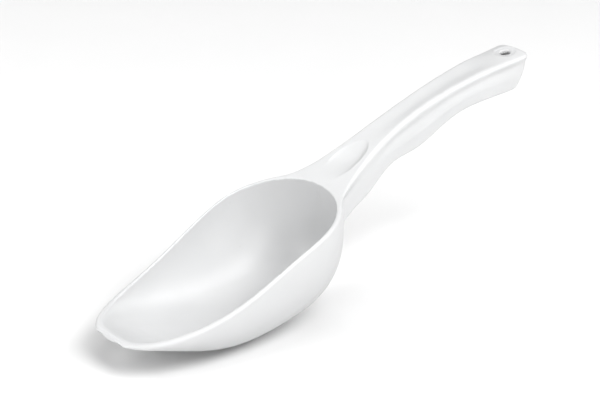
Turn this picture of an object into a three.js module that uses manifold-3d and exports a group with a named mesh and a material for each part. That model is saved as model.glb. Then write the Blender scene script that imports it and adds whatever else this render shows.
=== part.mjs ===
// Plastic ice scoop: a deep, spoon-shaped bowl, and an arched handle with a thumb recess and a hang hole.
// Millimetres. +X runs from the bowl's tip to the handle's end, +Y across, +Z up. The origin lies on the
// surface that the scoop rests on, below the middle of its length.
import * as THREE from "three";
import { mergeVertices } from "three/addons/utils/BufferGeometryUtils.js";
import Module from "manifold-3d";

const wasm = await Module();
wasm.setup();

// Driving dimensions. Distances along the scoop are measured from the tip.
const LENGTH = 250;
const WALL = 2.1;
const GAP = 0.3;

// Height of the rim and of the handle's deck above the surface, along the scoop.
const TOP_AT = [0, 25, 50, 90, 115, 150, 200, 250];
const TOP_HEIGHT = [17.4, 22.3, 30.7, 50.9, 59.9, 77.6, 96.8, 106.7];

// The bowl's outline in plan: two super-ellipse halves that meet at its widest place.
const BOWL_HALF_WIDTH = 37.35;
const BOWL_WIDEST_AT = 87;
const BOWL_BACK_AT = 124.3;
const OUTLINE_FRONT_POWER = 2.9;
const OUTLINE_BACK_POWER = 2.2;
const OUTLINE_TAPER = 0.1;

// The bowl's depth along the scoop below an upright edge, and the super-ellipse of each cross-section.
const BOWL_DEPTH = 45.4;
const RIM_EDGE = 0.8;
const BOWL_DEEPEST_AT = 93.9;
const DEPTH_FRONT_POWER = 1.66;
const DEPTH_FRONT_ROUND = 1.25;
const DEPTH_BACK_POWER = 1.7;
const DEPTH_BACK_ROUND = 0.17;
const SECTION_POWER = 2.4;
const SECTION_LEAN = THREE.MathUtils.degToRad(5.5);

// The rim's flat lip is widest at the tip.
const LIP_TIP = 3.8;
const LIP_SIDE = 1.9;
const LIP_BACK = 3.4;
const LIP_TAPER = 0.04;

// The handle: half width and skirt depth along the scoop.
const HANDLE_FROM = 108;
const HALF_WIDTH_AT = [108, 114, 120, 126, 132, 140, 150, 160, 180, 210, 235, 250];
const HALF_WIDTH = [27.6, 24.2, 20.6, 17.4, 14.9, 12.7, 10.7, 9.5, 8.6, 9.6, 10.9, 11.4];
const SKIRT_DEPTH_AT = [108, 120, 132, 145, 159, 178, 199, 222, 241, 250];
const SKIRT_DEPTH = [21.5, 20.5, 18.9, 19.6, 17, 19.9, 16.2, 16, 17.8, 17.8];
const END_CORNER = 4;
const END_SLANT = 5.5;
const END_SLANT_LENGTH = 28;

// The handle's cross-section: a dished deck between two ridges, and a groove along each side.
const DECK_DISH = 0.6;
const GROOVE = 1;
const GROOVE_FROM = 140;
const GROOVE_FULL_FROM = 165;
const SKIRT_DRAFT = 0.8;

// The recess for the thumb, and the hole that the scoop hangs by in its shallow dish.
const RECESS_AT = 138;
const RECESS_HALF_LENGTH = 13.2;
const RECESS_HALF_WIDTH = 8.2;
const RECESS_DEPTH = 2;
const RECESS_BALL_HEIGHT = 8;
const HOLE_AT = 242.5;
const HOLE_RADIUS = 3;
const HOLE_DISH_RADIUS = 6.2;
const HOLE_DISH_DEPTH = 0.5;

// Facets, and how far the cutting bodies stand clear of what they cut.
const BOWL_STATIONS = 36;
const BOWL_ARC_STEPS = 24;
const HANDLE_STATIONS = 46;
const ROUND_FACETS = 24;
const CLEARANCE = 30;

const topHeight = along(TOP_AT, TOP_HEIGHT);
const handleHalfWidth = along(HALF_WIDTH_AT, HALF_WIDTH);
const skirtDepth = along(SKIRT_DEPTH_AT, SKIRT_DEPTH);

// A smooth curve through values given at places along the scoop.
function along(places, values) {
  const curve = new THREE.CubicInterpolant(places, values, 1);
  return (x) => curve.evaluate(x)[0];
}

function point(x, y, z) {
  return new THREE.Vector3(x, y, z);
}

// A geometry as a manifold solid, its shared corners merged and its collapsed triangles dropped.
function toSolid(geometry) {
  const bare = geometry.clone();
  bare.deleteAttribute("normal");
  bare.deleteAttribute("uv");
  const merged = mergeVertices(bare, 1e-5);
  const corners = Array.from(merged.index.array);
  const triVerts = [];
  for (let i = 0; i < corners.length; i += 3) {
    const [a, b, c] = corners.slice(i, i + 3);
    if (a !== b && b !== c && c !== a) {
      triVerts.push(a, b, c);
    }
  }
  return new wasm.Manifold(new wasm.Mesh({
    numProp: 3,
    vertProperties: new Float32Array(merged.attributes.position.array),
    triVerts: new Uint32Array(triVerts),
  }));
}

// The largest body of a manifold solid as a geometry, without the crumbs that a cut may leave.
function toGeometry(solid) {
  const bodies = solid.decompose().sort((a, b) => b.volume() - a.volume());
  const mesh = bodies[0].getMesh();
  const geometry = new THREE.BufferGeometry();
  geometry.setAttribute("position", new THREE.BufferAttribute(new Float32Array(mesh.vertProperties), 3));
  geometry.setIndex(Array.from(mesh.triVerts));
  geometry.computeVertexNormals();
  return geometry;
}

// A solid skinned over rings that run along +X. Each ring goes +Y along its underside and back along its
// top; a ring may be collapsed to a point or an upright line, and the two end rings are capped.
function skin(rings) {
  const size = rings[0].length;
  const positions = rings.flat().flatMap((corner) => corner.toArray());
  const index = [];
  for (let ring = 0; ring < rings.length - 1; ring += 1) {
    for (let side = 0; side < size; side += 1) {
      const a = ring * size + side;
      const b = ring * size + ((side + 1) % size);
      index.push(a, b, b + size, a, b + size, a + size);
    }
  }
  const lastRing = (rings.length - 1) * size;
  index.push(...cap(rings[0], 0, true), ...cap(rings.at(-1), lastRing, false));
  const geometry = new THREE.BufferGeometry();
  geometry.setAttribute("position", new THREE.Float32BufferAttribute(positions, 3));
  geometry.setIndex(index);
  return toSolid(geometry);
}

// Triangles that close an end ring, facing -X or +X. A collapsed ring needs none.
function cap(ring, first, facesBack) {
  const outline = ring.map((corner) => new THREE.Vector2(corner.y, corner.z));
  if (Math.abs(THREE.ShapeUtils.area(outline)) < 1e-6) {
    return [];
  }
  const faces = THREE.ShapeUtils.triangulateShape(outline, []);
  const turned = faces.map(([a, b, c]) => (facesBack ? [a, c, b] : [a, b, c]));
  return turned.flat().map((corner) => first + corner);
}

// Stations between two places, closest together at both ends.
function endedStations(from, to, count) {
  const share = (i) => (1 - Math.cos((Math.PI * i) / count)) / 2;
  return Array.from({ length: count + 1 }, (_, i) => from + (to - from) * share(i));
}

// Half width of a bowl outline that spans from front to back, at x.
function outlineHalfWidth(x, shape) {
  if (x < BOWL_WIDEST_AT) {
    const ahead = (BOWL_WIDEST_AT - x) / (BOWL_WIDEST_AT - shape.front);
    const round = Math.max(1 - ahead ** OUTLINE_FRONT_POWER, 0) ** (1 / OUTLINE_FRONT_POWER);
    return shape.halfWidth * round * (1 - shape.taper * ahead);
  }
  const behind = (x - BOWL_WIDEST_AT) / (shape.back - BOWL_WIDEST_AT);
  return shape.halfWidth * Math.max(1 - behind ** OUTLINE_BACK_POWER, 0) ** (1 / OUTLINE_BACK_POWER);
}

// Depth of a bowl below its rim, at x.
function bowlDepth(x, shape) {
  if (x < BOWL_DEEPEST_AT) {
    const ahead = (BOWL_DEEPEST_AT - x) / (BOWL_DEEPEST_AT - shape.front);
    return shape.depth * Math.max(1 - ahead ** DEPTH_FRONT_POWER, 0) ** DEPTH_FRONT_ROUND;
  }
  const behind = (x - BOWL_DEEPEST_AT) / (shape.back - BOWL_DEEPEST_AT);
  return shape.depth * Math.max(1 - behind ** DEPTH_BACK_POWER, 0) ** DEPTH_BACK_ROUND;
}

// A filled bowl. Its flat top follows the rim, or stands above it where shape.above is more than 0.
function bowlSolid(shape) {
  const rings = endedStations(shape.front, shape.back, BOWL_STATIONS).map((x) => {
    const halfWidth = outlineHalfWidth(x, shape);
    const depth = bowlDepth(x, shape);
    const rim = topHeight(Math.max(x, 0));
    const ring = [];
    for (let step = 0; step <= BOWL_ARC_STEPS; step += 1) {
      const turn = (Math.PI * step) / BOWL_ARC_STEPS;
      const across = -Math.sign(Math.cos(turn)) * Math.abs(Math.cos(turn)) ** (2 / SECTION_POWER);
      const down = RIM_EDGE + depth * Math.abs(Math.sin(turn)) ** (2 / SECTION_POWER);
      const [back, drop] = [down * Math.sin(SECTION_LEAN), down * Math.cos(SECTION_LEAN)];
      ring.push(point(x + back, halfWidth * across, rim - drop));
    }
    ring.push(point(x, halfWidth, rim + shape.above), point(x, -halfWidth, rim + shape.above));
    return ring;
  });
  return skin(rings);
}

// The bowl's shell: the outer body without its cavity, cut flat where it rests.
function bowl() {
  const outer = bowlSolid({
    front: 0,
    back: BOWL_BACK_AT,
    halfWidth: BOWL_HALF_WIDTH,
    taper: OUTLINE_TAPER,
    depth: BOWL_DEPTH,
    above: 0,
  });
  const cavity = bowlSolid({
    front: LIP_TIP,
    back: BOWL_BACK_AT - LIP_BACK,
    halfWidth: BOWL_HALF_WIDTH - LIP_SIDE,
    taper: OUTLINE_TAPER + LIP_TAPER,
    depth: BOWL_DEPTH - WALL,
    above: CLEARANCE,
  });
  const below = new THREE.BoxGeometry(LENGTH, LENGTH, CLEARANCE).translate(LENGTH / 2, 0, -CLEARANCE / 2);
  return toGeometry(outer.subtract(cavity).subtract(toSolid(below)));
}

// How far the groove is cut into the handle's side, at x.
function grooveDepth(x) {
  return GROOVE * THREE.MathUtils.smoothstep(x, GROOVE_FROM, GROOVE_FULL_FROM);
}

// Half width of the handle's deck, with its end corners rounded.
function deckHalfWidth(x) {
  const intoCorner = Math.max(x - (LENGTH - END_CORNER), 0);
  return handleHalfWidth(x) - END_CORNER + Math.sqrt(END_CORNER ** 2 - intoCorner ** 2);
}

// The end wall slants forward: how far a point at this depth moves towards the bowl.
function endSlant(x, depth) {
  const nearEnd = Math.max(1 - (LENGTH - x) / END_SLANT_LENGTH, 0);
  return END_SLANT * nearEnd ** 2 * Math.min(depth / skirtDepth(LENGTH), 1.2) ** 2;
}

// A ring from half an outline, given as [y, depth below the deck] from its foot up to the middle of its top.
function mirroredRing(x, half) {
  const place = ([y, depth], side) =>
    point(x - endSlant(x, Math.max(depth, 0)), side * y, topHeight(x) - depth);
  const rising = half.map((corner) => place(corner, 1));
  const falling = half.slice(0, -1).reverse().map((corner) => place(corner, -1));
  return [...rising, ...falling];
}

function handleOuterRing(x) {
  const width = deckHalfWidth(x);
  const depth = skirtDepth(x);
  const groove = grooveDepth(x);
  return mirroredRing(x, [
    [width - SKIRT_DRAFT, depth],
    [width - SKIRT_DRAFT / 3, depth * 0.85],
    [width, depth * 0.65],
    [width - groove * 0.5, depth * 0.45],
    [width - groove, depth * 0.3],
    [width - groove * 0.4, depth * 0.18],
    [width, 1.5],
    [width * 0.96, 0.4],
    [width * 0.87, 0],
    [width * 0.65, DECK_DISH * 0.4],
    [width * 0.35, DECK_DISH * 0.85],
    [0, DECK_DISH],
  ]);
}

// The hollow under the deck. It is open below and, at the bowl's end, in front.
function handleInnerRing(x) {
  const width = deckHalfWidth(Math.min(x, LENGTH - END_CORNER)) - WALL - grooveDepth(x) / 2;
  const depth = skirtDepth(x);
  return mirroredRing(x, [
    [width - SKIRT_DRAFT, depth + CLEARANCE],
    [width - SKIRT_DRAFT, depth],
    [width, depth * 0.5],
    [width, WALL + 1.5],
    [width - 1.5, WALL + DECK_DISH],
    [0, WALL + DECK_DISH],
  ]);
}

function evenStations(from, to, count) {
  return Array.from({ length: count + 1 }, (_, i) => from + ((to - from) * i) / count);
}

// An ellipsoid that dents the deck at x: its outline there is an ellipse, and its wall can be thickened.
function denting(x, halfLength, halfWidth, depth, height, thickness) {
  const spread = Math.sqrt(1 - ((height - depth) / height) ** 2);
  const slope = Math.atan((topHeight(x + 5) - topHeight(x - 5)) / 10);
  const ball = new THREE.SphereGeometry(1, ROUND_FACETS, ROUND_FACETS / 2);
  ball.rotateX(Math.PI / 2);
  ball.scale(halfLength / spread + thickness, halfWidth / spread + thickness, height + thickness);
  ball.rotateY(-slope);
  const rise = height - depth;
  ball.translate(x - rise * Math.sin(slope), 0, topHeight(x) + rise * Math.cos(slope));
  return toSolid(ball);
}

// The handle: a channel that is open below, shaped to the bowl's back, with its recess and its hang hole.
function handle() {
  const outer = skin([
    ...evenStations(HANDLE_FROM, LENGTH - END_CORNER, HANDLE_STATIONS).map(handleOuterRing),
    ...endedStations(LENGTH - END_CORNER, LENGTH, 8).slice(1).map(handleOuterRing),
  ]);
  const inner = skin(evenStations(HANDLE_FROM - WALL, LENGTH - WALL, HANDLE_STATIONS).map(handleInnerRing));
  const bowlSeat = bowlSolid({
    front: -GAP,
    back: BOWL_BACK_AT + GAP,
    halfWidth: BOWL_HALF_WIDTH + GAP,
    taper: OUTLINE_TAPER,
    depth: BOWL_DEPTH + GAP,
    above: CLEARANCE,
  });
  const recess = [RECESS_AT, RECESS_HALF_LENGTH, RECESS_HALF_WIDTH, RECESS_DEPTH, RECESS_BALL_HEIGHT];
  const holeDish = [HOLE_AT, HOLE_DISH_RADIUS, HOLE_DISH_RADIUS, HOLE_DISH_DEPTH + DECK_DISH, 4];
  const hole = new THREE.CylinderGeometry(HOLE_RADIUS, HOLE_RADIUS, 2 * CLEARANCE, ROUND_FACETS);
  hole.rotateX(Math.PI / 2).translate(HOLE_AT, 0, topHeight(HOLE_AT));
  const shell = outer.subtract(inner.subtract(denting(...recess, WALL)));
  const cutters = [bowlSeat, denting(...recess, 0), denting(...holeDish, 0), toSolid(hole)];
  return toGeometry(cutters.reduce((left, cutter) => left.subtract(cutter), shell));
}

function whitePlastic() {
  return new THREE.MeshStandardMaterial({ color: 0xf4f5f6, roughness: 0.25, metalness: 0 });
}

function named(name, geometry) {
  const mesh = new THREE.Mesh(geometry, whitePlastic());
  mesh.name = name;
  return mesh;
}

const scoop = new THREE.Group();
scoop.add(named("bowl", bowl()), named("handle", handle()));
scoop.position.x = -LENGTH / 2;

export default scoop;
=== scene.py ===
"""White plastic ice scoop on a pale studio floor.

The scoop is one moulding, so one smooth mesh stands for both CAD nodes. Its surface is where a field
that is close to a distance is zero: the bowl, the handle and their hollows are simple fields, joined and
cut with rounded edges. The fields work in millimetres, with x measured from the bowl's tip, and the mesh
is placed in metres from the frame.
"""

import math

import bpy
import numpy as np
from mathutils import Matrix, Vector


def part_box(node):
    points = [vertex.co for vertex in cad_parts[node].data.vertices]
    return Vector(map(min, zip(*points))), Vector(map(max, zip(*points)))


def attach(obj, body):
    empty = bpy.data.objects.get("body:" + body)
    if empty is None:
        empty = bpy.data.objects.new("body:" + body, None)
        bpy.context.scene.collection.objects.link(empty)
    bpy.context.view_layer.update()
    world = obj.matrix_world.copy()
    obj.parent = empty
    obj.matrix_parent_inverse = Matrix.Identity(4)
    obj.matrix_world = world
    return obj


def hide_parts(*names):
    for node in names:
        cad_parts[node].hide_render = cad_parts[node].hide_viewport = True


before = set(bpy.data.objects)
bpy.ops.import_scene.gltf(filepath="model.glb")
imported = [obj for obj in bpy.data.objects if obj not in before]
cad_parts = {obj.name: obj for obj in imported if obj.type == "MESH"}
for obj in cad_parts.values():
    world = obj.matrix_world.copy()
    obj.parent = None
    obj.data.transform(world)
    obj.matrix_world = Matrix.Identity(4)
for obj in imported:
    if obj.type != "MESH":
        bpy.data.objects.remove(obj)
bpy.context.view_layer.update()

MM = 0.001
BOWL_LOW, BOWL_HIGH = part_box("bowl")
_, HANDLE_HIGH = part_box("handle")
LENGTH = (HANDLE_HIGH[0] - BOWL_LOW[0]) / MM
HALF_WIDTH = (BOWL_HIGH[1] - BOWL_LOW[1]) / 2 / MM
HEIGHT = (HANDLE_HIGH[2] - BOWL_LOW[2]) / MM

# The rim's and the deck's height along the scoop.
TOP_AT = (0, 25, 50, 90, 115, 150, 200, LENGTH)
TOP_HEIGHT = (17.4, 22.3, 30.7, 50.9, 59.9, 77.6, 96.8, HEIGHT)

# The bowl: its outline in plan, its depth and its cross-section are super-ellipses.
TIP_AT = 0.15
BOWL_WIDEST_AT = 87
BOWL_BACK_AT = 124.3
OUTLINE_POWERS = (2.9, 2.2)
OUTLINE_TAPER = 0.1
BOWL_DEPTH = 45.4
BOWL_DEEPEST_AT = 93.9
DEPTH_POWERS = (1.66, 1.7)
DEPTH_ROUNDS = (1.25, 0.17)
SECTION_POWER = 2.4
SECTION_LEAN = math.radians(5.5)
RIM_EDGE, TIP_EDGE = 0.8, 1.5
DEPTH_DELAY = 2
LIP_TIP, LIP_SIDE, LIP_BACK = 3.8, 1.9, 3.4
LIP_TAPER = 0.04
WALL = 2.1

# The handle.
NECK_AT = 108
WIDTH_AT = (108, 114, 120, 126, 132, 140, 150, 160, 180, 210, 235, LENGTH)
WIDTHS = (27.6, 24.2, 20.6, 17.4, 14.9, 12.7, 10.7, 9.5, 8.6, 9.6, 10.9, 11.4)
SKIRT_AT = (108, 120, 132, 145, 159, 178, 199, 222, 241, LENGTH)
SKIRTS = (21.5, 20.5, 18.9, 19.6, 17, 19.9, 16.2, 16, 17.8, 17.8)
NECK_SKIRT_AT = (108, 120, 132, 144, 156)
NECK_SKIRT_WIDTHS = (17.5, 16, 13.9, 11.8, 10)
END_CORNER = 4
END_SLANT = 5.5
DECK_DISH = 0.7
DECK_DISH_SHARE = 0.78
GROOVE = 0.9
BULGE = 0.3
SKIRT_DRAFT = 0.8
RECESS = {"at": 137.5, "half_length": 13.7, "half_width": 8.2, "depth": 2.4}
HOLE = {"at": 242.5, "radius": 3, "dish_radius": 6.2, "dish_depth": 0.5}
END_CROWN = 1.5

# The plastic's lightest and darkest white.
PLASTIC_WHITE = (0.535, 0.538, 0.541)
PLASTIC_SHADE = (0.52, 0.524, 0.528)

# The studio: an even sky, and soft boxes as a name, a turn and a height in degrees, and a power in watts.
# Their size, and their distance from a target just above the floor, are in metres.
SKY = 0.02
SOFT_BOX_SIZE = 1.2
SOFT_BOX_DISTANCE = 2.5
SOFT_BOX_TARGET = (0, 0, 0.03)
SOFT_BOXES = (
    ("front", 0, 50, 48),
    ("right", 40, 40, 28),
    ("low_front", 330, 18, 24),
    ("low_left", 255, 18, 20),
    ("back_left", 225, 40, 22),
    ("back", 180, 40, 8),
    ("overhead", 0, 85, 16),
)

# Edge roundings, and the mesh's quad size.
EDGE_ROUND_AT = (0, 20, 122, 150, 235, 248)
EDGE_ROUNDS = (0.9, 1.6, 1.6, 2.6, 2.6, 1.6)
LIP_ROUND = 0.4
NECK_FILLET = 1.6
SKIRT_EDGE_ROUND = 1.3
HOLLOW_ROUND = 0.8
HOLE_EDGE_ROUND = 0.4
QUAD = 0.78

# The cosine down to which a mesh normal and the surface's own normal count as the same.
NORMALS_AGREE = 0.96

# Waves per metre of the plastic's clouds, gloss, mould grain and ripples, and of the floor's unevenness.
CLOUD_WAVES, GLOSS_WAVES, GRAIN_WAVES, RIPPLE_WAVES = 38, 160, 1400, 60
FLOOR_WAVES = 30

# How deep the grain and the ripples are, in metres, and how far light spreads inside the plastic.
GRAIN_DEPTH, RIPPLE_DEPTH = 0.00004, 0.0002
LIGHT_SPREAD = 0.002

# The floor's grey and how far it reaches from the middle, in metres.
FLOOR_GREY = 0.74
FLOOR_REACH = 4


def smooth_curve(places, values):
    """A natural cubic spline through values at places, as a function that also gives the slope."""
    x, v = np.array(places, float), np.array(values, float)
    gap = np.diff(x)
    matrix = np.eye(len(x))
    bend = np.zeros(len(x))
    for i in range(1, len(x) - 1):
        matrix[i, i - 1:i + 2] = gap[i - 1], 2 * (gap[i - 1] + gap[i]), gap[i]
        bend[i] = 6 * ((v[i + 1] - v[i]) / gap[i] - (v[i] - v[i - 1]) / gap[i - 1])
    curve = np.linalg.solve(matrix, bend)

    def evaluate(at):
        at = np.clip(at, x[0], x[-1])
        i = np.clip(np.searchsorted(x, at, side="right") - 1, 0, len(gap) - 1)
        t, g = at - x[i], gap[i]
        a = (curve[i + 1] - curve[i]) / (6 * g)
        b = curve[i] / 2
        c = (v[i + 1] - v[i]) / g - g * (2 * curve[i] + curve[i + 1]) / 6
        return v[i] + t * (c + t * (b + t * a)), c + t * (2 * b + 3 * t * a)

    return evaluate


rim_height = smooth_curve(TOP_AT, TOP_HEIGHT)
handle_width = smooth_curve(WIDTH_AT, WIDTHS)
skirt_depth = smooth_curve(SKIRT_AT, SKIRTS)
neck_skirt_width = smooth_curve(NECK_SKIRT_AT, NECK_SKIRT_WIDTHS)


def ramp(value, start, end):
    """0 before start, 1 after end, and a smooth rise between."""
    t = np.clip((value - start) / (end - start), 0, 1)
    return t * t * (3 - 2 * t)


def both(a, b, radius):
    """What lies inside both fields, its convex edge rounded."""
    corner = np.sqrt(np.maximum(radius + a, 0) ** 2 + np.maximum(radius + b, 0) ** 2)
    return np.minimum(-radius, np.maximum(a, b)) + corner


def either(a, b, radius):
    """What lies inside one field or the other, its concave edge filleted."""
    corner = np.sqrt(np.maximum(radius - a, 0) ** 2 + np.maximum(radius - b, 0) ** 2)
    return np.maximum(radius, np.minimum(a, b)) - corner


def cut(a, b, radius):
    """What lies inside a and not inside b."""
    return both(a, -b, radius)


def gradient(field, p, step=0.02):
    """A field's slope at points p, an array of rows (x, y, z)."""
    slope = np.empty_like(p)
    for axis in range(3):
        move = np.zeros(3)
        move[axis] = step
        slope[:, axis] = (field(p + move) - field(p - move)) / (2 * step)
    return slope


def bowl_body(front, back, half_width, taper, depth, edge, tip_edge, delay):
    """The filled bowl below an endless upright rim: close to a distance near its surface, < 0 inside."""
    def narrowing(ahead):
        """The share of the half width left by the taper, which sets in smoothly."""
        return 1 - taper * 1.1 * ahead ** 2 / (ahead + 0.1)

    def plan(station, side, _):
        """Outside the outline in plan, whose powers differ before and behind its widest place."""
        ahead = np.maximum((BOWL_WIDEST_AT - station) / (BOWL_WIDEST_AT - front), 0)
        behind = np.maximum((station - BOWL_WIDEST_AT) / (back - BOWL_WIDEST_AT), 0)
        width = half_width * narrowing(ahead)
        fore, aft = OUTLINE_POWERS
        across = side / width
        return np.where(ahead > 0, ahead ** fore + across ** fore, behind ** aft + across ** aft) - 1

    def section(station, side, down):
        """Outside the cross-section, whose width and depth shrink towards the bowl's ends."""
        ahead = np.maximum((BOWL_WIDEST_AT - station) / (BOWL_WIDEST_AT - front), 0)
        behind = np.maximum((station - BOWL_WIDEST_AT) / (back - BOWL_WIDEST_AT), 0)
        fore = np.maximum(1 - ahead ** OUTLINE_POWERS[0], 1e-4) ** (1 / OUTLINE_POWERS[0])
        aft = np.maximum(1 - behind ** OUTLINE_POWERS[1], 1e-4) ** (1 / OUTLINE_POWERS[1])
        width = half_width * narrowing(ahead) * fore * aft
        ahead = np.maximum((BOWL_DEEPEST_AT - station) / (BOWL_DEEPEST_AT - front - delay), 0)
        behind = np.maximum((station - BOWL_DEEPEST_AT) / (back - BOWL_DEEPEST_AT), 0)
        rounding = np.where(ahead > 0, DEPTH_ROUNDS[0], DEPTH_ROUNDS[1])
        share = 1 - np.where(ahead > 0, ahead ** DEPTH_POWERS[0], behind ** DEPTH_POWERS[1])
        share = np.maximum(share, 1e-5)
        sag = depth * share ** rounding
        below = np.maximum(down - edge - (tip_edge - edge) * ramp(station, 30, 5), 0)
        reach = (side / width) ** SECTION_POWER + (below / sag) ** SECTION_POWER
        reach = np.minimum(reach ** (1 / SECTION_POWER), 1e3)
        return share * rounding * (reach ** (1 / rounding) - 1)

    def distance(p):
        x, y, z = p.T
        station, cos, sin = x, math.cos(SECTION_LEAN), math.sin(SECTION_LEAN)
        for _ in range(4):
            station = x - (rim_height(station)[0] - z) * sin / cos
        height, slope = rim_height(station)
        side, down = np.abs(y), (height - z) / cos
        step, stretch = 0.02, cos + slope * sin
        found = []
        for outside in (plan, section):
            along = outside(station + step, side, down) - outside(station - step, side, down)
            across = outside(station, side + step, down) - outside(station, np.abs(side - step), down)
            deeper = outside(station, side, down + step) - outside(station, side, down - step)
            level = (along * cos + slope * deeper) / stretch
            upright = (along * sin - deeper) / stretch
            steepness = np.sqrt(level ** 2 + across ** 2 + upright ** 2) / (2 * step)
            found.append(outside(station, side, down) / np.maximum(steepness, 1e-4))
        return np.maximum(*found)

    return distance


outer_bowl = bowl_body(
    TIP_AT, BOWL_BACK_AT, HALF_WIDTH, OUTLINE_TAPER, BOWL_DEPTH, RIM_EDGE, TIP_EDGE, DEPTH_DELAY
)
bowl_cavity = bowl_body(
    LIP_TIP, BOWL_BACK_AT - LIP_BACK, HALF_WIDTH - LIP_SIDE, OUTLINE_TAPER + LIP_TAPER,
    BOWL_DEPTH - WALL + RIM_EDGE, 0, 0, 0
)


def deck_height(x, y):
    """The top surface: the rim, then the handle's dished deck, with its recess and hole dish."""
    height, slope = rim_height(x)
    across = np.clip(np.abs(y) / (DECK_DISH_SHARE * handle_width(x)[0]), 0, 1)
    dish = DECK_DISH * ramp(x, 145, 170) * ramp(x, 236, 216) * (1 - across ** 2) ** 2
    inside = 1 - ((x - RECESS["at"]) / RECESS["half_length"]) ** 2 - (y / RECESS["half_width"]) ** 2
    deepening = ramp(x, RECESS["at"] - RECESS["half_length"], RECESS["at"] + 0.4 * RECESS["half_length"])
    recess = RECESS["depth"] * deepening * np.maximum(inside, 0) ** 0.7
    around_hole = 1 - ((x - HOLE["at"]) ** 2 + y ** 2) / HOLE["dish_radius"] ** 2
    hole_dish = HOLE["dish_depth"] * ramp(around_hole, 0, 0.5)
    crown = END_CROWN * ramp(x, 220, 245) * (y / handle_width(x)[0]) ** 2
    return height - dish - recess - hole_dish - crown, slope


def handle_sides(x, y, down):
    """Distance outside the handle's sides, with the groove and the bulge that run along them."""
    width, slope = handle_width(x)
    depth = skirt_depth(x)[0]
    level = down / depth
    overhang = np.maximum(width - neck_skirt_width(x)[0], 0) * ramp(down, 0.5, 6.5)
    groove = GROOVE * ramp(x, 135, 170) * ramp(x, 250, 232) * np.exp(-((level - 0.31) / 0.15) ** 2)
    bulge = BULGE * ramp(x, 150, 180) * ramp(x, 250, 230) * np.exp(-((level - 0.55) / 0.16) ** 2)
    draft = SKIRT_DRAFT * np.clip(level, 0, 1.5) ** 2
    return (np.abs(y) - (width - overhang - groove + bulge - draft)) / np.sqrt(1 + slope ** 2)


def scoop(p):
    """The whole moulding."""
    x, y, z = p.T
    height, slope = deck_height(x, y)
    upright = 1 / np.sqrt(1 + slope ** 2)
    top = (z - height) * upright
    down = rim_height(x)[0] - z
    depth = skirt_depth(x)[0]

    sides = handle_sides(x, y, down)
    end = x - (LENGTH - END_SLANT * np.clip(down / depth, 0, 1.3) ** 3)
    below = (down - depth) * upright
    walls = both(sides, end, END_CORNER)
    handle = np.maximum(both(walls, below, SKIRT_EDGE_ROUND), NECK_AT - x)
    hollow = both(np.maximum(walls + WALL, NECK_AT - x), top + WALL, HOLLOW_ROUND)

    bowl = outer_bowl(p)
    outside = either(bowl, handle, NECK_FILLET)
    edge_round = np.interp(x, EDGE_ROUND_AT, EDGE_ROUNDS)
    body = both(outside, top, edge_round)
    body = cut(body, both(hollow, -bowl, HOLLOW_ROUND), HOLLOW_ROUND)
    body = cut(body, bowl_cavity(p), LIP_ROUND)
    around = np.hypot(x - HOLE["at"], y) - HOLE["radius"]
    body = both(body, -around, HOLE_EDGE_ROUND)
    return np.maximum(body, -z)


def sampled(field, low, counts, step):
    """A field's values on a grid. Far from the surface they come from a coarser grid, which is enough."""
    coarse = 4
    blocks = np.array(counts) // coarse
    centre = np.stack(np.meshgrid(*[np.arange(n) for n in blocks], indexing="ij"), -1)
    centre = (centre + 0.5) * coarse - 0.5
    rough = field((low + centre * step).reshape(-1, 3)).reshape(blocks)
    values = rough.repeat(coarse, 0).repeat(coarse, 1).repeat(coarse, 2).astype(np.float32)
    near = np.argwhere(np.abs(rough) < 1.35 * coarse * step)
    offsets = np.stack(np.meshgrid(*[np.arange(coarse)] * 3, indexing="ij"), -1).reshape(-1, 3)
    for part in np.array_split(near, max(len(near) // 4000, 1)):
        index = (part[:, None] * coarse + offsets).reshape(-1, 3)
        values[tuple(index.T)] = field(low + index * step)
    return values


def untangled(values):
    """Fills a grid point wherever inside points only meet across a diagonal, so that no walls touch."""
    steps = np.eye(3, dtype=int)
    for first, second in ((0, 1), (0, 2), (1, 2)) * 4:
        square = np.array([0 * steps[0], steps[first], steps[first] + steps[second], steps[second]])
        size = np.array(values.shape) - steps[first] - steps[second]
        a, b, c, d = (values[tuple(slice(o, o + n) for o, n in zip(at, size))] < 0 for at in square)
        places = np.argwhere((a == c) & (b == d) & (a != b))[:, None] + square
        levels = values[tuple(np.moveaxis(places, -1, 0))]
        pick = np.argmin(np.where(levels < 0, np.inf, levels), 1)
        values[tuple(places[np.arange(len(pick)), pick].T)] = -0.01
    return values


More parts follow.
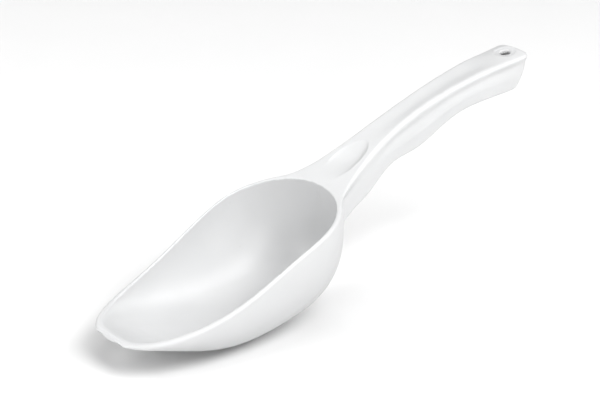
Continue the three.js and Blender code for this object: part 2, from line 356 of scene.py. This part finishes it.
def surface_quads(values, low, step):
    """Quads over the zero surface of sampled values: one corner in each cell that the surface crosses."""
    inside = values < 0
    shape = np.array(values.shape) - 1
    total = np.zeros((*shape, 3), np.float32)
    crossings = np.zeros(shape, np.int16)
    crossed = []
    for axis in range(3):
        a = [slice(None)] * 3
        b = [slice(None)] * 3
        a[axis], b[axis] = slice(None, -1), slice(1, None)
        a, b = tuple(a), tuple(b)
        changes = np.argwhere(inside[a] != inside[b])
        start = values[a][tuple(changes.T)]
        stop = values[b][tuple(changes.T)]
        place = changes.astype(np.float32)
        place[:, axis] += start / (start - stop)
        others = [other for other in range(3) if other != axis]
        for first in (0, 1):
            for second in (0, 1):
                cell = changes.copy()
                cell[:, others[0]] -= first
                cell[:, others[1]] -= second
                np.add.at(total, tuple(cell.T), place)
                np.add.at(crossings, tuple(cell.T), 1)
        crossed.append((axis, others, changes, start < 0))
    cells = np.argwhere(crossings > 0)
    number = np.full(shape, -1)
    number[tuple(cells.T)] = np.arange(len(cells))
    corners = low + step * total[tuple(cells.T)] / crossings[tuple(cells.T)][:, None]
    quads = []
    for axis, others, changes, leaving in crossed:
        ring = []
        for first, second in ((0, 0), (1, 0), (1, 1), (0, 1)):
            cell = changes.copy()
            cell[:, others[0]] -= first
            cell[:, others[1]] -= second
            ring.append(number[tuple(cell.T)])
        ring = np.stack(ring, 1)
        turned = leaving if axis != 1 else ~leaving
        quads.append(np.where(turned[:, None], ring, ring[:, ::-1]))
    return corners, np.concatenate(quads)


def settled(field, corners, quads, step):
    """Corners evened out among their neighbours and put on the surface, with normals.

    The normals are the surface's own, or the mesh's where an edge is too tight for the mesh to follow.
    """
    def onto_surface(p):
        for _ in range(3):
            slope = gradient(field, p)
            move = field(p)[:, None] * slope / np.maximum((slope ** 2).sum(1), 1e-6)[:, None]
            length = np.linalg.norm(move, axis=1, keepdims=True)
            p = p - move * np.minimum(1, 0.5 * step / np.maximum(length, 1e-9))
        return p

    corners = onto_surface(corners)
    total = np.zeros_like(corners)
    count = np.zeros(len(corners))
    for side in range(4):
        a, b = quads[:, side], quads[:, (side + 1) % 4]
        np.add.at(total, a, corners[b])
        np.add.at(count, a, 1)
    corners = onto_surface(0.5 * corners + 0.5 * total / count[:, None])
    slope = gradient(field, corners)
    slope /= np.linalg.norm(slope, axis=1, keepdims=True)
    first, second, third, fourth = (corners[quads[:, side]] for side in range(4))
    faces = np.cross(third - first, fourth - second)
    facing = np.zeros_like(corners)
    for side in range(4):
        np.add.at(facing, quads[:, side], faces)
    facing /= np.maximum(np.linalg.norm(facing, axis=1, keepdims=True), 1e-9)
    agrees = (slope * facing).sum(1, keepdims=True) > NORMALS_AGREE
    return corners, np.where(agrees, slope, facing)


def scoop_mesh():
    """The moulding as one closed mesh with the field's own normals."""
    low = np.array([-2.0, -HALF_WIDTH - 2, -2.0])
    counts = np.ceil(np.array([LENGTH + 4, 2 * HALF_WIDTH + 4, HEIGHT + 4]) / QUAD / 4).astype(int) * 4
    values = untangled(sampled(scoop, low, counts, QUAD))
    corners, quads = surface_quads(values, low, QUAD)
    corners, normals = settled(scoop, corners, quads, QUAD)
    place = corners * MM + np.array([BOWL_LOW[0], 0, BOWL_LOW[2]])
    mesh = bpy.data.meshes.new("scoop")
    mesh.from_pydata(place.tolist(), [], quads.tolist())
    mesh.update()
    mesh.polygons.foreach_set("use_smooth", np.ones(len(quads), bool))
    mesh.normals_split_custom_set_from_vertices(normals.tolist())
    piece = bpy.data.objects.new("scoop", mesh)
    bpy.context.scene.collection.objects.link(piece)
    return piece


def principled(name):
    material = bpy.data.materials.new(name)
    material.use_nodes = True
    tree = material.node_tree
    return material, tree.nodes, tree.links, tree.nodes["Principled BSDF"]


def noise(nodes, links, scale, detail):
    """A noise texture in the object's own metres, so scale is in waves per metre."""
    place = nodes.new("ShaderNodeTexCoord")
    texture = nodes.new("ShaderNodeTexNoise")
    texture.inputs["Scale"].default_value = scale
    texture.inputs["Detail"].default_value = detail
    links.new(place.outputs["Object"], texture.inputs["Vector"])
    return texture.outputs["Fac"]


def between(nodes, links, amount, low, high):
    """Maps a noise's middle range to low..high."""
    spread = nodes.new("ShaderNodeMapRange")
    spread.inputs["From Min"].default_value = 0.3
    spread.inputs["From Max"].default_value = 0.7
    spread.inputs["To Min"].default_value = low
    spread.inputs["To Max"].default_value = high
    links.new(amount, spread.inputs["Value"])
    return spread.outputs["Result"]


def white_plastic():
    """White polypropylene: cloudy white, unevenly glossy, with a fine mould texture and slow ripples."""
    material, nodes, links, shader = principled("moulded_white_plastic")
    tint = nodes.new("ShaderNodeValToRGB")
    tint.color_ramp.elements[0].position, tint.color_ramp.elements[0].color = 0.35, (*PLASTIC_SHADE, 1)
    tint.color_ramp.elements[1].position, tint.color_ramp.elements[1].color = 0.65, (*PLASTIC_WHITE, 1)
    links.new(noise(nodes, links, CLOUD_WAVES, 4), tint.inputs["Fac"])
    links.new(tint.outputs["Color"], shader.inputs["Base Color"])
    gloss = between(nodes, links, noise(nodes, links, GLOSS_WAVES, 4), 0.34, 0.44)
    links.new(gloss, shader.inputs["Roughness"])
    grain = nodes.new("ShaderNodeBump")
    grain.inputs["Distance"].default_value = GRAIN_DEPTH
    grain.inputs["Strength"].default_value = 0.35
    links.new(noise(nodes, links, GRAIN_WAVES, 3), grain.inputs["Height"])
    ripple = nodes.new("ShaderNodeBump")
    ripple.inputs["Distance"].default_value = RIPPLE_DEPTH
    ripple.inputs["Strength"].default_value = 0.05
    links.new(noise(nodes, links, RIPPLE_WAVES, 2), ripple.inputs["Height"])
    links.new(ripple.outputs["Normal"], grain.inputs["Normal"])
    links.new(grain.outputs["Normal"], shader.inputs["Normal"])
    shader.inputs["IOR"].default_value = 1.49
    shader.inputs["Subsurface Weight"].default_value = 0.15
    shader.inputs["Subsurface Radius"].default_value = (LIGHT_SPREAD, LIGHT_SPREAD, LIGHT_SPREAD)
    shader.inputs["Subsurface Scale"].default_value = 1
    return material


def floor_material():
    """White paper sweep: matt, with a barely uneven surface."""
    material, nodes, links, shader = principled("studio_floor")
    shader.inputs["Base Color"].default_value = (FLOOR_GREY, FLOOR_GREY, FLOOR_GREY, 1)
    roughness = between(nodes, links, noise(nodes, links, FLOOR_WAVES, 2), 0.7, 0.8)
    links.new(roughness, shader.inputs["Roughness"])
    shader.inputs["Specular IOR Level"].default_value = 0.2
    return material


def studio_floor():
    mesh = bpy.data.meshes.new("floor")
    reach = FLOOR_REACH
    corners = [(-reach, -reach, 0), (reach, -reach, 0), (reach, reach, 0), (-reach, reach, 0)]
    mesh.from_pydata(corners, [], [(0, 1, 2, 3)])
    floor = bpy.data.objects.new("floor", mesh)
    bpy.context.scene.collection.objects.link(floor)
    mesh.materials.append(floor_material())


def soft_box(name, turn, height, power):
    """A square soft box that faces the scoop, turned from -Y and raised by angles in degrees."""
    turn, height = math.radians(turn), math.radians(height)
    level = math.cos(height)
    toward = Vector((math.sin(turn) * level, -math.cos(turn) * level, math.sin(height)))
    light = bpy.data.lights.new(name, "AREA")
    light.shape = "SQUARE"
    light.size = SOFT_BOX_SIZE
    light.energy = power
    lamp = bpy.data.objects.new(name, light)
    lamp.location = Vector(SOFT_BOX_TARGET) + SOFT_BOX_DISTANCE * toward
    lamp.rotation_euler = toward.to_track_quat("Z", "Y").to_euler()
    bpy.context.scene.collection.objects.link(lamp)


def studio_light():
    world = bpy.data.worlds.new("studio")
    world.use_nodes = True
    world.node_tree.nodes["Background"].inputs["Color"].default_value = (1, 1, 1, 1)
    world.node_tree.nodes["Background"].inputs["Strength"].default_value = SKY
    bpy.context.scene.world = world
    for name, turn, height, power in SOFT_BOXES:
        soft_box(name, turn, height, power)


# The camera looks at the scoop from beside the bowl, turned from the +Y direction and tilted down.
CAMERA_TURN = math.radians(37.99)
CAMERA_TILT = math.radians(22.27)
CAMERA_LENS = 108
SENSOR = 36


def camera():
    data = bpy.data.cameras.new("camera")
    data.lens = CAMERA_LENS
    data.sensor_width = SENSOR
    data.clip_start = 0.01
    view = bpy.data.objects.new("camera", data)
    ahead = Vector((
        math.sin(CAMERA_TURN) * math.cos(CAMERA_TILT),
        math.cos(CAMERA_TURN) * math.cos(CAMERA_TILT),
        -math.sin(CAMERA_TILT),
    ))
    right = Vector((math.cos(CAMERA_TURN), -math.sin(CAMERA_TURN), 0))
    up = right.cross(ahead)
    # How far the scoop's middle lies right of, above and ahead of the camera.
    middle = Vector((0, 0, 45.4 * MM))
    offset = 11.58 * MM * right - 5.97 * MM * up + 871.97 * MM * ahead
    axes = Matrix((right, up, -ahead)).transposed().to_4x4()
    view.matrix_world = Matrix.Translation(middle - offset) @ axes
    bpy.context.scene.collection.objects.link(view)
    bpy.context.scene.camera = view


body = scoop_mesh()
body.data.materials.append(white_plastic())
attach(body, "root")
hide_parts("bowl", "handle")
camera()
studio_light()
studio_floor()
bpy.context.scene.view_settings.view_transform = "Standard"
